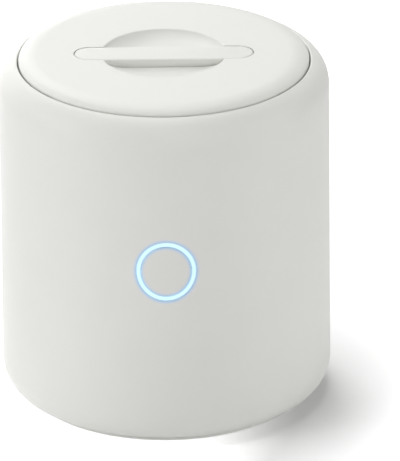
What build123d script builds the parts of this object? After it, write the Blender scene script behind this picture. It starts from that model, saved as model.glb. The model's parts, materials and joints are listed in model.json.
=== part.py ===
from build123d import *
import os
from math import acos, asin, cos, degrees, radians, sin, sqrt

# Portable ultraviolet steriliser for teats and soothers, in millimetres.
# The case stands on z = 0 with its axis on Z, and the button faces -Y.

# Case
case_radius = 48.0
case_wall = 2.4
foot_round_width = 8.0
foot_round_height = 9.1
seam_height = 1.7
shoulder_round_width = 6.33
shoulder_round_height = 7.8
mouth_edge_round = 0.35

# Lid and mouth
case_rim_width = 5.4
lid_gap = 0.4
lid_top = 105.4
lid_crown_width = 5.0
lid_crown_height = 2.0
lid_skin = 2.2
lid_rim_wall = 2.0
mouth_depth = 4.8
mouth_ledge = 2.4
lid_lift_clearance = 0.2

# Finger dish and grip bar
dish_radius = 18.0
dish_depth = 2.5
dish_cove_width = 6.0
dish_edge_round = 0.4
dish_wall = 2.0
bar_length = 52.0
bar_width = 9.4
bar_thickness = 3.0
bar_edge_round = 0.4
bar_gap = 0.2
bar_pad_border = 1.8
bar_peg_radius = 1.4
bar_peg_spacing = 44.0
bar_peg_clearance = 0.1
bar_peg_stand = 0.5

# Treatment chamber
service_gap = 8.0
chamber_floor = 39.8
chamber_corner = 5.0
liner_thickness = 0.8
liner_clearance = 0.2
liner_rim_drop = 0.8
cup_wall = 1.6
cup_floor = 1.8
cup_flange = 1.4
cup_flange_clearance = 0.3
cup_ledge_clearance = 0.4

# Lid plug
plug_clearance = 0.6
plug_wall = 1.6
plug_floor = 2.2
plug_reach = 6.2
plug_flange = 1.4
plug_flange_clearance = 0.3
gasket_width = 4.1
gasket_thickness = 1.0
gasket_clearance = 0.1
gasket_bead = 0.45
gasket_bead_width = 1.8
gasket_fit = 0.05
reflector_thickness = 0.6
reflector_border = 0.8
magnet_radius = 2.5
magnet_height = 3.0
magnet_collar_wall = 1.0
magnet_clearance = 0.1
magnet_border = 3.8
lid_post_radius = 2.6
lid_post_border = 7.8
lid_screw_radius = 0.95
lid_pilot_end = 0.8
lid_screw_end = 2.0

# Lit push button
button_height = 57.1
button_radius = 7.3
button_oval = 0.43
button_face_thickness = 3.2
face_trim = 1.0
button_skirt = 1.2
button_stem_radius = 2.2
button_tab_width = 3.2
button_tab_reach = 1.1
button_tab_thickness = 0.6
button_travel = 0.5
ring_outer_radius = 8.65
ring_width = 1.25
ring_hole_clearance = 0.1
ring_flange_radius = 10.5
ring_flange_thickness = 0.8
button_pad_radius = 12.5
button_pad_depth = 4.0
button_tab_clearance = 0.2
switch_size = 6.0
switch_height = 1.9
switch_bore_relief = 0.2
plunger_radius = 1.2
plunger_bore_clearance = 0.15
plunger_entry = 0.6
switch_gap = 0.1
button_board_width = 20.0
button_board_length = 36.0
button_board_thickness = 1.2
button_post_radius = 2.2
button_post_spacing = 28.0
button_screw_radius = 1.05
button_screw_head = 0.8
button_screw_grip = 3.0
ring_led_count = 6
ring_led_circle = 9.4
ring_led_size = (1.6, 0.8, 0.6)

# Ultraviolet source under the chamber floor
window_radius = 9.5
window_thickness = 1.5
window_clearance = 0.3
window_well_wall = 2.7
window_well_depth = 2.2
window_hole_radius = 7.5
window_seat_depth = 1.8
seal_thickness = 0.7
seal_width = 1.9
led_board_radius = 11.0
led_board_thickness = 1.6
uv_led_size = 3.5
uv_led_height = 1.2
uv_led_body_height = 0.84
uv_led_lens_radius = 1.2
uv_led_pitch = 5.4
sink_radius = 17.0
sink_base = 2.5
sink_depth = 8.8
fin_thickness = 1.2
fin_pitch = 3.6
fin_count = 9
sink_post_radius = 2.2
sink_post_circle = 14.5
sink_post_angles = (30.0, 150.0, 270.0)
sink_screw_radius = 0.8
sink_screw_grip = 3.8
sink_driver_clearance = 0.6

# Base
base_thickness = 2.6
base_clearance = 0.3
base_opening_lip = 1.4
base_lip_clearance = 0.1
base_lip_round = 0.25
base_floor_height = 0.3
pad_border = 3.3
pad_thickness = 0.9
pad_recess_clearance = 0.2
pad_chamfer = 0.2
base_boss_border = 4.3
base_boss_radius = 3.0
base_boss_top = 20.0
base_screw_radius = 1.2
web_thickness = 1.8
web_start = 6.0
screw_grip = 8.0

# Battery
cell_radius = 9.15
cell_length = 65.0
cell_y = -8.0
cell_nub_radius = 2.75
cell_nub_height = 0.8
cell_clearance = 0.25
cell_edge_round = 0.6
cell_end_gap = 0.8
holder_wall = 1.3
holder_end_wall = 1.9
holder_end_height = 15.0
holder_floor = 0.9
holder_side_drop = 1.0
holder_end_width = 12.8
holder_peg_clearance = 0.1
contact_thickness = 0.4
contact_size = 8.0
contact_bump_radius = 2.0
holder_peg_radius = 1.5
holder_peg_spacing = 52.0
holder_peg_height = 0.7

# Control board and charging socket
board_height = 12.0
board_thickness = 1.6
board_half_width = 20.0
board_cell_clearance = 3.55
board_edge_clearance = 1.0
board_screw_side = 16.5
board_screw_border = 9.6
board_screw_grip = 6.0
board_boss_radius = 2.8
board_boss_height = 10.0
board_post_side = 12.0
board_post_inset = 3.5
board_post_radius = 2.0
board_pin_radius = 0.9
board_pin_clearance = 0.1
board_screw_shank = 1.0
socket_width = 8.94
socket_height = 3.26
socket_length = 7.3
socket_wall = 0.3
socket_back = 0.9
socket_recess = 1.6
socket_hole_clearance = 0.25
tongue_width = 6.7
tongue_thickness = 0.7
tongue_length = 5.6

# Pieces on the control board
chip_height = 0.9
controller_size = 5.0
controller_row = 10.25
charger_size = 4.0
driver_size = 3.0
driver_row = 14.75
side_column = 10.0
coil_size = 6.0
coil_height = 3.0
charger_row = 20.75
header_width = 5.0
header_depth = 3.6
header_height = 3.4
header_column = 14.5
header_row = 7.75
capacitor_radius = 2.0
capacitor_height = 4.4
capacitor_column = 3.0
capacitor_row = 23.75

# Lid sensor
sensor_angle = 74.0
sensor_board_width = 8.0
sensor_board_height = 12.0
sensor_board_thickness = 1.0
sensor_board_drop = 5.0
sensor_boss_reach = 2.4
sensor_boss_radius = 1.6
sensor_pin_radius = 0.7
sensor_pin_reach = 1.8
sensor_pin_inset = 2.0
sensor_pin_clearance = 0.05
sensor_size = (3.0, 1.1, 3.0)
sensor_flex_overlap = 1.1

# Internal wiring
flex_thickness = 0.3
flex_width = 8.0
flex_level = 23.3
flex_bend = 4.0
flex_overlap = 1.6
sensor_flex_width = 5.0
flex_landing = 1.5
wire_landing = 5.0
wire_radius = 0.6
wire_spacing = 3.0
wire_bend = 5.0

# Lift-out rack
rack_clearance = 1.4
rack_thickness = 1.6
rack_level = 46.0
rack_floor_clearance = 0.2
rack_leg_radius = 2.0
rack_leg_inset = 4.6
rack_leg_count = 4
rack_eye_radius = 5.0
rack_slot_count = 10
rack_slot_width = 5.0
rack_slot_inner = 10.0
rack_slot_border = 7.6
rack_rim_height = 2.4
rack_rim_width = 1.6

# Fasteners
screw_head_height = 1.2
screw_head_ratio = 1.95
screw_clearance = 0.05
screw_hole_clearance = 0.15
screw_slot_width = 0.5
screw_slot_floor = 0.55
pilot_end = 2.0

# Derived heights and radii
case_inner = case_radius - case_wall
foot_radius = case_radius - foot_round_width
straight_bottom = seam_height + foot_round_height
mouth_radius = case_radius - case_rim_width
lid_radius = mouth_radius - lid_gap
shoulder_height = lid_top - lid_crown_height - shoulder_round_height
shoulder_centre = case_radius - shoulder_round_width
shoulder_angle = acos((mouth_radius - shoulder_centre) / shoulder_round_width)
mouth_top = shoulder_height + shoulder_round_height * sin(shoulder_angle)
ledge_height = lid_top - lid_crown_height - mouth_depth
cup_outer = case_inner - service_gap
cup_inner = cup_outer - cup_wall
chamber_radius = cup_inner - liner_clearance - liner_thickness
ledge_radius = cup_outer + cup_ledge_clearance
cup_flange_top = ledge_height + cup_flange
cup_floor_top = chamber_floor - liner_thickness
cup_floor_bottom = cup_floor_top - cup_floor
lid_rim_bottom = cup_flange_top + lid_lift_clearance
lid_inner = lid_radius - lid_rim_wall
lid_skin_bottom = lid_top - lid_skin
dish_floor = lid_top - dish_depth
dish_bottom = dish_floor - dish_wall
bar_bottom = lid_top - bar_thickness
plug_radius = chamber_radius - plug_clearance
lid_post_circle = plug_radius - plug_wall - lid_post_border
magnet_centre = plug_radius - plug_wall - magnet_border
gasket_bottom = cup_flange_top + gasket_clearance
plug_flange_bottom = gasket_bottom + gasket_thickness
plug_flange_top = plug_flange_bottom + plug_flange
plug_bottom = cup_flange_top - plug_reach
plug_floor_top = plug_bottom + plug_floor
reflector_bottom = plug_bottom - reflector_thickness
base_opening = foot_radius - base_opening_lip
base_radius = base_opening - base_clearance
base_boss_circle = base_radius - base_boss_border
pad_radius = foot_radius - pad_border
base_top = base_floor_height + base_thickness
cell_centre = base_top + holder_floor + cell_clearance + cell_radius
board_top = board_height + board_thickness
board_front = cell_y + cell_radius + cell_clearance + holder_wall + board_cell_clearance
board_screw_row = case_inner - board_screw_border
board_post_row = board_front + board_post_inset
socket_centre = board_top + socket_height / 2
window_seat = cup_floor_top - window_seat_depth
well_bottom = cup_floor_bottom - window_well_depth
window_bottom = window_seat + seal_thickness
led_board_bottom = well_bottom - led_board_thickness
sink_base_bottom = led_board_bottom - sink_base
sink_bottom = led_board_bottom - sink_depth
rack_radius = chamber_radius - rack_clearance
rack_leg_circle = rack_radius - rack_leg_inset
rack_slot_outer = rack_radius - rack_slot_border
button_pad_face = case_radius - button_pad_depth
ring_back = button_pad_face - ring_flange_thickness
tab_front = ring_back - button_tab_clearance
tab_back = tab_front - button_tab_thickness
switch_front = tab_back - button_travel - switch_gap
switch_back = switch_front - switch_height
button_board_back = switch_back - button_board_thickness
ring_inner_radius = ring_outer_radius - ring_width
switch_bore_depth = plunger_entry + button_travel + switch_bore_relief
corner_angles = (45.0, 135.0, 225.0, 315.0)
lid_post_angles = (90.0, 210.0, 330.0)
button_tab_angles = (90.0, 210.0, 330.0)


def disc(radius, low, high, x=0.0, y=0.0):
    """Upright cylinder between two heights."""
    return Pos(x, y, (low + high) / 2) * Cylinder(radius, high - low)


def ring(outer, inner, low, high):
    """Upright flat ring between two heights."""
    return disc(outer, low, high) - disc(inner, low, high)


def rod_to_front(radius, outer, inner, x=0.0, z=button_height):
    """Cylinder along Y on the front side, between two distances from the axis."""
    return Pos(x, -(outer + inner) / 2, z) * Rot(90, 0, 0) * Cylinder(radius, outer - inner)


def oval_to_front(radius, outer, inner):
    """Like rod_to_front at the button, but taller than wide by the button's oval allowance."""
    outline = Plane.XZ * Ellipse(radius, radius + button_oval)
    return Pos(0, -inner, button_height) * extrude(outline, outer - inner)


def block(x_range, y_range, z_range):
    """Box between three pairs of limits."""
    centre = [sum(pair) / 2 for pair in (x_range, y_range, z_range)]
    size = [pair[1] - pair[0] for pair in (x_range, y_range, z_range)]
    return Pos(*centre) * Box(*size)


def polar(radius, angle):
    """Point in plan at a radius and an angle in degrees from +X."""
    return radius * cos(radians(angle)), radius * sin(radians(angle))


def stadium(length, width, low, high):
    """Upright prism with rounded ends along X."""
    return Pos(0, 0, low) * extrude(SlotOverall(length, width), high - low)


def turned(lines):
    """Solid of revolution from the lines of a closed profile in the XZ plane."""
    return revolve(Plane.XZ * make_face(lines), Axis.Z)


def screw(shank_radius, head_face, tip, x, y):
    """Pan-head screw driven up from below: its head lies under head_face."""
    head_radius = shank_radius * screw_head_ratio
    head = disc(head_radius, head_face - screw_head_height, head_face, x, y)
    slot = block((x - head_radius, x + head_radius),
                 (y - screw_slot_width / 2, y + screw_slot_width / 2),
                 (head_face - screw_head_height, head_face - screw_slot_floor))
    return head - slot + disc(shank_radius, head_face, tip, x, y)


def outer_case():
    """Tubular outer wall with its rounded foot and shoulder, mouth ledge, bosses and openings."""
    start = Vector(base_opening, 0, seam_height)
    foot = EllipticalCenterArc((foot_radius, straight_bottom), foot_round_width,
                               foot_round_height, 270)
    shoulder = EllipticalCenterArc((shoulder_centre, shoulder_height), shoulder_round_width,
                                   shoulder_round_height, arc_size=degrees(shoulder_angle))
    inner_foot = EllipticalCenterArc((foot_radius, straight_bottom), foot_round_width - case_wall,
                                     foot_round_height - case_wall, 270)
    inner_foot_bottom = straight_bottom - foot_round_height + case_wall
    ledge_bottom = ledge_height - mouth_ledge
    outline = [
        Line((start.X, start.Z), (foot_radius, seam_height)),
        foot,
        Line((case_radius, straight_bottom), (case_radius, shoulder_height)),
        shoulder,
        Polyline((mouth_radius, mouth_top), (mouth_radius, ledge_height),
                 (ledge_radius, ledge_height), (ledge_radius, ledge_bottom),
                 (case_inner, ledge_bottom), (case_inner, straight_bottom)),
        inner_foot,
        Polyline((foot_radius, inner_foot_bottom), (base_opening, inner_foot_bottom),
                 (base_opening, seam_height)),
    ]
    case = turned(outline)
    mouth_edges = case.edges().filter_by(GeomType.CIRCLE).group_by(Axis.Z)[-1]
    case = fillet(mouth_edges, mouth_edge_round)

    skin = case_wall / 2
    within = disc(case_radius - skin, 0, lid_top)
    case += rod_to_front(button_pad_radius, case_radius, button_pad_face) & within
    for side in (-1, 1):
        height = button_height + side * button_post_spacing / 2
        case += rod_to_front(button_post_radius, case_radius, switch_back, z=height) & within
        case -= rod_to_front(button_screw_radius + screw_clearance, button_pad_face, switch_back,
                             z=height)
    for angle in corner_angles:
        x, y = polar(base_boss_circle, angle)
        web = block((base_boss_circle, case_radius), (-web_thickness / 2, web_thickness / 2),
                    (web_start, base_boss_top))
        web = Rot(0, 0, angle) * web & within
        web -= ring(case_radius, foot_radius, 0, straight_bottom - foot_round_height + case_wall)
        case += (web & inner_envelope()) + disc(base_boss_radius, base_top, base_boss_top, x, y)
        case -= disc(base_screw_radius + screw_clearance, base_top, base_boss_top - pilot_end, x, y)
    for side in (-1, 1):
        x, y = side * board_screw_side, board_screw_row
        reach = sqrt(x * x + y * y)
        angle = degrees(asin(y / reach))
        angle = angle if side > 0 else 180 - angle
        top = board_top + board_boss_height
        web = block((reach, case_radius), (-web_thickness / 2, web_thickness / 2), (board_top, top))
        case += (Rot(0, 0, angle) * web & within) + disc(board_boss_radius, board_top, top, x, y)
        case -= disc(board_screw_shank + screw_clearance, board_top, top - pilot_end, x, y)
    for height in sensor_pin_heights():
        boss = sensor_frame() * Pos(0, 0, height) * Rot(0, 90, 0) * Cylinder(
            sensor_boss_radius, 2 * sensor_boss_reach)
        case += boss & within
        pin = sensor_frame() * Pos(-sensor_boss_reach - sensor_pin_reach / 2, 0, height)
        case += pin * Rot(0, 90, 0) * Cylinder(sensor_pin_radius, sensor_pin_reach)

    case -= oval_to_front(ring_outer_radius + ring_hole_clearance, case_radius, ring_back)
    hole = extrude(Plane.XZ.offset(-case_radius) * Pos(0, socket_centre) * SlotOverall(
        socket_width + 2 * socket_hole_clearance, socket_height + 2 * socket_hole_clearance),
        2 * case_wall)
    return case - hole


def inner_envelope():
    """Space just outside the inner face of the case, which bounds ribs that join its wall."""
    middle = case_wall / 2
    rounding = EllipticalCenterArc((foot_radius, straight_bottom), foot_round_width - middle,
                                   foot_round_height - middle, 270)
    outline = [
        Polyline((0, seam_height + middle), (foot_radius, seam_height + middle)),
        rounding,
        Polyline((case_radius - middle, straight_bottom), (case_radius - middle, shoulder_height),
                 (0, shoulder_height), (0, seam_height + middle)),
    ]
    return turned(outline)


def sensor_frame():
    """Frame on the inner face of the case at the lid sensor, with X pointing outwards."""
    return Rot(0, 0, sensor_angle) * Pos(case_inner, 0, 0)


def sensor_board_heights():
    """Lowest and highest level of the sensor board."""
    top = ledge_height - mouth_ledge - sensor_board_drop
    return top - sensor_board_height, top


def sensor_pin_heights():
    """Levels of the two pins that hold the sensor board."""
    low, high = sensor_board_heights()
    return low + sensor_pin_inset, high - sensor_pin_inset


def chamber_cup():
    """Moulded cup that hangs from the mouth ledge and carries the ultraviolet source."""
    corner = chamber_corner + liner_thickness + liner_clearance
    flange_radius = mouth_radius - cup_flange_clearance
    outside = disc(cup_outer, cup_floor_bottom, ledge_height)
    outside = fillet(outside.edges().filter_by(GeomType.CIRCLE).group_by(Axis.Z)[0],
                     corner + cup_wall)
    inside = disc(cup_inner, cup_floor_top, cup_flange_top)
    inside = fillet(inside.edges().filter_by(GeomType.CIRCLE).group_by(Axis.Z)[0], corner)
    cup = outside + disc(flange_radius, ledge_height, cup_flange_top) - inside
    cup += disc(window_radius + window_well_wall, well_bottom, cup_floor_bottom)
    for angle in sink_post_angles:
        x, y = polar(sink_post_circle, angle)
        cup += disc(sink_post_radius, led_board_bottom, cup_floor_bottom, x, y)
        cup -= disc(sink_screw_radius + screw_clearance, led_board_bottom,
                    cup_floor_bottom + cup_floor / 2, x, y)
    cup -= disc(window_hole_radius, well_bottom, cup_floor_top)
    return cup - disc(window_radius + window_clearance, window_seat, cup_floor_top)


def chamber_liner():
    """Polished reflector that lines the cup, open at the window."""
    outer_radius = chamber_radius + liner_thickness
    top = cup_flange_top - liner_rim_drop
    outside = disc(outer_radius, cup_floor_top, top)
    outside = fillet(outside.edges().filter_by(GeomType.CIRCLE).group_by(Axis.Z)[0],
                     chamber_corner + liner_thickness)
    inside = disc(chamber_radius, chamber_floor, top)
    inside = fillet(inside.edges().filter_by(GeomType.CIRCLE).group_by(Axis.Z)[0], chamber_corner)
    return outside - inside - disc(window_radius + window_clearance, cup_floor_top, chamber_floor)


def quartz_window():
    """Clear disc over the ultraviolet source."""
    return disc(window_radius, window_bottom, window_bottom + window_thickness)


def window_seal():
    """Soft ring under the window."""
    return ring(window_radius, window_radius - seal_width, window_seat, window_bottom)


def uv_led_board():
    """Metal-core board for the ultraviolet emitters."""
    return disc(led_board_radius, led_board_bottom, well_bottom)


def uv_leds():
    """Four ultraviolet emitters in a square, each with its raised lens."""
    emitters = []
    for x in (-uv_led_pitch / 2, uv_led_pitch / 2):
        for y in (-uv_led_pitch / 2, uv_led_pitch / 2):
            half = uv_led_size / 2
            body = block((x - half, x + half), (y - half, y + half),
                         (well_bottom, well_bottom + uv_led_body_height))
            lens = disc(uv_led_lens_radius, well_bottom + uv_led_body_height,
                        well_bottom + uv_led_height, x, y)
            emitters.append(body + lens)
    return Compound(children=emitters)


def heat_sink():
    """Finned aluminium sink behind the emitter board."""
    sink = disc(sink_radius, sink_base_bottom, led_board_bottom)
    reach = disc(sink_radius, sink_bottom, sink_base_bottom)
    for index in range(fin_count):
        x = (index - (fin_count - 1) / 2) * fin_pitch
        fin = block((x - fin_thickness / 2, x + fin_thickness / 2), (-sink_radius, sink_radius),
                    (sink_bottom, sink_base_bottom))
        sink += fin & reach
    for angle in sink_post_angles:
        x, y = polar(sink_post_circle, angle)
        head = sink_screw_radius * screw_head_ratio + sink_driver_clearance
        sink -= disc(head, sink_bottom, sink_base_bottom, x, y)
        sink -= disc(sink_screw_radius + screw_hole_clearance, sink_base_bottom,
                     led_board_bottom, x, y)
    return sink


def heat_sink_screws():
    """Three screws that draw the sink and emitter board up to the cup."""
    places = [polar(sink_post_circle, angle) for angle in sink_post_angles]
    return Compound(children=[screw(sink_screw_radius, sink_base_bottom,
                                    led_board_bottom + sink_screw_grip, x, y)
                              for x, y in places])


def base_cover():
    """Closing plate with its visible lip, posts, pegs and counterbored screw holes."""
    cover = disc(base_radius, base_floor_height, base_top)
    lip = disc(foot_radius - base_lip_clearance, base_floor_height,
               seam_height - base_lip_clearance)
    lip = fillet(lip.edges().filter_by(GeomType.CIRCLE).group_by(Axis.Z)[0], base_lip_round)
    cover += lip
    cover -= disc(pad_radius + pad_recess_clearance, 0, pad_thickness)
    for angle in corner_angles:
        x, y = polar(base_boss_circle, angle)
        head = base_screw_radius * screw_head_ratio + screw_hole_clearance
        cover -= disc(head, pad_thickness, pad_thickness + screw_head_height, x, y)
        cover -= disc(base_screw_radius + screw_hole_clearance, pad_thickness, base_top, x, y)
    for side in (-1, 1):
        x, y = side * board_post_side, board_post_row
        cover += disc(board_post_radius, base_top, board_height, x, y)
        cover += disc(board_pin_radius, board_height, board_top, x, y)
        peg = side * holder_peg_spacing / 2
        cover += disc(holder_peg_radius, base_top, base_top + holder_peg_height, peg, cell_y)
    return cover


def foot_pad():
    """Soft non-slip disc let into the base."""
    pad = disc(pad_radius, 0, pad_thickness)
    return chamfer(pad.edges().filter_by(GeomType.CIRCLE).group_by(Axis.Z)[0], pad_chamfer)


def base_screws():
    """Four screws that hold the base cover to the case."""
    places = [polar(base_boss_circle, angle) for angle in corner_angles]
    head_face = pad_thickness + screw_head_height
    return Compound(children=[screw(base_screw_radius, head_face, base_top + screw_grip, x, y)
                              for x, y in places])


def along_x(radius, low, high, y=cell_y, z=None):
    """Cylinder along X at the level of the battery cell."""
    level = cell_centre if z is None else z
    return Pos((low + high) / 2, y, level) * Rot(0, 90, 0) * Cylinder(radius, high - low)


def battery_cell():
    """Round lithium cell lying across the case, its positive cap to the right."""
    half = cell_length / 2
    can = along_x(cell_radius, -half, half - cell_nub_height)
    can = fillet(can.edges().filter_by(GeomType.CIRCLE), cell_edge_round)
    return can + along_x(cell_nub_radius, half - 2 * cell_nub_height, half)


def battery_holder():
    """Open cradle for the cell with two end walls."""
    bore = cell_radius + cell_clearance
    inner = cell_length / 2 + cell_end_gap
    outer = inner + holder_end_wall
    half_width = bore + holder_wall
    cradle = block((-outer, outer), (cell_y - half_width, cell_y + half_width),
                   (base_top, cell_centre - holder_side_drop))
    ends = block((-outer, outer), (cell_y - holder_end_width / 2, cell_y + holder_end_width / 2),
                 (base_top, base_top + holder_end_height))
    cradle = cradle + ends - along_x(bore, -inner, inner)
    gap = block((-inner, inner), (cell_y - bore, cell_y + bore), (cell_centre, cell_centre + bore))
    cradle -= gap
    cradle &= disc(base_radius - base_clearance, 0, shoulder_height)
    for side in (-1, 1):
        peg = side * holder_peg_spacing / 2
        cradle -= disc(holder_peg_radius + holder_peg_clearance, base_top,
                       base_top + holder_peg_height + holder_peg_clearance, peg, cell_y)
    return cradle


def battery_contacts():
    """Two sprung contact plates at the ends of the cell."""
    contacts = []
    inner = cell_length / 2 + cell_end_gap
    for side in (-1, 1):
        outer_face = side * inner
        plate_face = side * (inner - contact_thickness)
        plate = block(sorted((outer_face, plate_face)),
                      (cell_y - contact_size / 2, cell_y + contact_size / 2),
                      (cell_centre - contact_size / 2, cell_centre + contact_size / 2))
        bump = along_x(contact_bump_radius, *sorted((plate_face, side * cell_length / 2)))
        contacts.append(plate + bump)
    return Compound(children=contacts)


def control_board():
    """Charging and control board that hangs from two bosses and rests on two posts."""
    reach = case_inner - board_edge_clearance
    board = block((-board_half_width, board_half_width), (board_front, reach),
                  (board_height, board_top)) & disc(reach, board_height, board_top)
    for side in (-1, 1):
        board -= disc(board_screw_shank + screw_hole_clearance, board_height, board_top,
                      side * board_screw_side, board_screw_row)
        board -= disc(board_pin_radius + board_pin_clearance, board_height, board_top,
                      side * board_post_side, board_post_row)
    return board


def control_board_screws():
    """Two screws from below that hold the control board to the case."""
    tip = board_top + board_screw_grip
    return Compound(children=[screw(board_screw_shank, board_height, tip,
                                    side * board_screw_side, board_screw_row)
                              for side in (-1, 1)])


def board_components():
    """Controller, charger, driver, coil, capacitors and wire headers on the control board."""
    chips = [
        (0.0, controller_row, controller_size, controller_size, chip_height),
        (-side_column, driver_row, driver_size, driver_size, chip_height),
        (-side_column, charger_row, charger_size, charger_size, chip_height),
        (side_column, charger_row, coil_size, coil_size, coil_height),
        (-header_column, header_row, header_width, header_depth, header_height),
        (header_column, header_row, header_width, header_depth, header_height),
    ]
    pieces = []
    for x, row, width, depth, height in chips:
        y = board_front + row
        pieces.append(block((x - width / 2, x + width / 2), (y - depth / 2, y + depth / 2),
                            (board_top, board_top + height)))
    for side in (-1, 1):
        pieces.append(disc(capacitor_radius, board_top, board_top + capacitor_height,
                           side * capacitor_column, board_front + capacitor_row))
    return Compound(children=pieces)


def charging_socket_shell():
    """Pressed metal shell of the charging socket, open to the rear."""
    mouth = case_radius - socket_recess
    plane = Plane.XZ.offset(-mouth) * Pos(0, socket_centre)
    outside = extrude(plane * SlotOverall(socket_width, socket_height), socket_length)
    inside = extrude(plane * SlotOverall(socket_width - 2 * socket_wall,
                                         socket_height - 2 * socket_wall),
                     socket_length - socket_back)
    return outside - inside


def charging_socket_tongue():
    """Contact tongue inside the charging socket."""
    back = case_radius - socket_recess - socket_length + socket_back
    return block((-tongue_width / 2, tongue_width / 2), (back, back + tongue_length),
                 (socket_centre - tongue_thickness / 2, socket_centre + tongue_thickness / 2))


def light_ring():
    """Translucent guide round the button: its face follows the case, its flange seats inside."""
    guide = oval_to_front(ring_outer_radius, case_radius + face_trim, button_pad_face)
    guide += oval_to_front(ring_flange_radius, button_pad_face, ring_back)
    guide -= oval_to_front(ring_inner_radius, case_radius + face_trim, ring_back)
    return guide & disc(case_radius, 0, lid_top)


def button_cap():
    """Button with its curved face, central stem and three stop tabs behind the light ring."""
    face_back = case_radius - button_face_thickness
    cap = oval_to_front(button_radius, case_radius + face_trim, face_back) & disc(case_radius, 0, lid_top)
    skirt = oval_to_front(button_radius, face_back, tab_back)
    skirt -= oval_to_front(button_radius - button_skirt, face_back, tab_back)
    cap += skirt + rod_to_front(button_stem_radius, face_back, tab_back)
    reach = button_radius + button_tab_reach
    tabs = oval_to_front(reach, tab_front, tab_back)
    tabs -= oval_to_front(button_radius - button_skirt / 2, tab_front, tab_back)
    for angle in button_tab_angles:
        width = block((0, 2 * reach), (-case_radius, 0),
                      (-button_tab_width / 2, button_tab_width / 2))
        cap += tabs & (Pos(0, 0, button_height) * Rot(0, angle, 0) * width)
    return cap


def switch_plunger():
    """Plunger of the switch, which travels with the button."""
    return rod_to_front(plunger_radius, tab_back, switch_front - plunger_entry)


def tact_switch():
    """Low switch body on the button board, bored for its plunger."""
    half = switch_size / 2
    body = block((-half, half), (-switch_front, -switch_back),
                 (button_height - half, button_height + half))
    return body - rod_to_front(plunger_radius + plunger_bore_clearance, switch_front,
                               switch_front - switch_bore_depth)


def button_board():
    """Board behind the button, screwed to two posts on the case."""
    half = button_board_width / 2
    board = block((-half, half), (-switch_back, -button_board_back),
                  (button_height - button_board_length / 2,
                   button_height + button_board_length / 2))
    for side in (-1, 1):
        height = button_height + side * button_post_spacing / 2
        board -= rod_to_front(button_screw_radius + screw_hole_clearance, switch_back,
                              button_board_back, z=height)
    return board


def button_board_screws():
    """Two short screws that hold the button board to its posts."""
    screws = []
    for side in (-1, 1):
        height = button_height + side * button_post_spacing / 2
        body = rod_to_front(button_screw_radius, switch_back + button_screw_grip,
                            button_board_back, z=height)
        head = rod_to_front(button_screw_radius * screw_head_ratio, button_board_back,
                            button_board_back - button_screw_head, z=height)
        screws.append(body + head)
    return Compound(children=screws)


def ring_leds():
    """Small white emitters in a circle that feed the light ring."""
    width, height, depth = ring_led_size
    emitters = []
    for index in range(ring_led_count):
        angle = (index + 0.5) * 360 / ring_led_count
        body = block((ring_led_circle - height / 2, ring_led_circle + height / 2),
                     (-switch_back - depth, -switch_back), (-width / 2, width / 2))
        emitters.append(Pos(0, 0, button_height) * Rot(0, angle, 0) * body)
    return Compound(children=emitters)


def lid_cap():
    """Lid disc with its soft crowned edge, finger dish, bar pocket and screw posts."""
    crown_start = lid_radius - lid_crown_width
    crown = EllipticalCenterArc((crown_start, lid_top - lid_crown_height), lid_crown_width,
                                lid_crown_height)
    outline = [
        Line((0, lid_top), (crown_start, lid_top)),
        crown,
        Polyline((lid_radius, lid_top - lid_crown_height), (lid_radius, lid_rim_bottom),
                 (lid_inner, lid_rim_bottom), (lid_inner, lid_skin_bottom),
                 (0, lid_skin_bottom), (0, lid_top)),
    ]
    cap = turned(outline)
    cap += disc(dish_radius + bar_pad_border, dish_bottom, lid_skin_bottom)
    pocket_length = bar_length + 2 * bar_gap
    pocket_width = bar_width + 2 * bar_gap
    cap += stadium(pocket_length + 2 * bar_pad_border, pocket_width + 2 * bar_pad_border,
                   dish_bottom, lid_skin_bottom)
    cap -= dish_hollow()
    rim = cap.edges().filter_by(GeomType.CIRCLE).filter_by(
        lambda edge: abs(edge.radius - dish_radius) < 0.01 and abs(edge.center().Z - lid_top) < 0.01)
    cap = fillet(rim, dish_edge_round)
    cap -= stadium(pocket_length, pocket_width, bar_bottom, lid_top)
    for side in (-1, 1):
        cap -= disc(bar_peg_radius + bar_peg_clearance, dish_bottom, bar_bottom,
                    side * bar_peg_spacing / 2, 0)
    for angle in lid_post_angles:
        x, y = polar(lid_post_circle, angle)
        cap += disc(lid_post_radius, plug_floor_top, lid_skin_bottom, x, y)
        cap -= disc(lid_screw_radius + screw_clearance, plug_floor_top,
                    lid_skin_bottom - lid_pilot_end, x, y)
    return cap


def dish_hollow():
    """Round finger dish with a coved side and a nearly flat floor."""
    flat = dish_radius - dish_cove_width
    cove = EllipticalCenterArc((flat, lid_top), dish_cove_width, dish_depth, 270)
    outline = [
        Line((0, dish_floor), (flat, dish_floor)),
        cove,
        Polyline((dish_radius, lid_top), (0, lid_top), (0, dish_floor)),
    ]
    return turned(outline)


def grip_bar():
    """Bar across the finger dish, flush with the lid and held by two pegs."""
    bar = stadium(bar_length, bar_width, bar_bottom, lid_top)
    bar = fillet(bar.faces().sort_by(Axis.Z)[-1].edges(), bar_edge_round)
    for side in (-1, 1):
        x = side * bar_peg_spacing / 2
        bar += disc(bar_peg_radius, dish_bottom - bar_peg_stand, bar_bottom, x, 0)
    return bar


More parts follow.
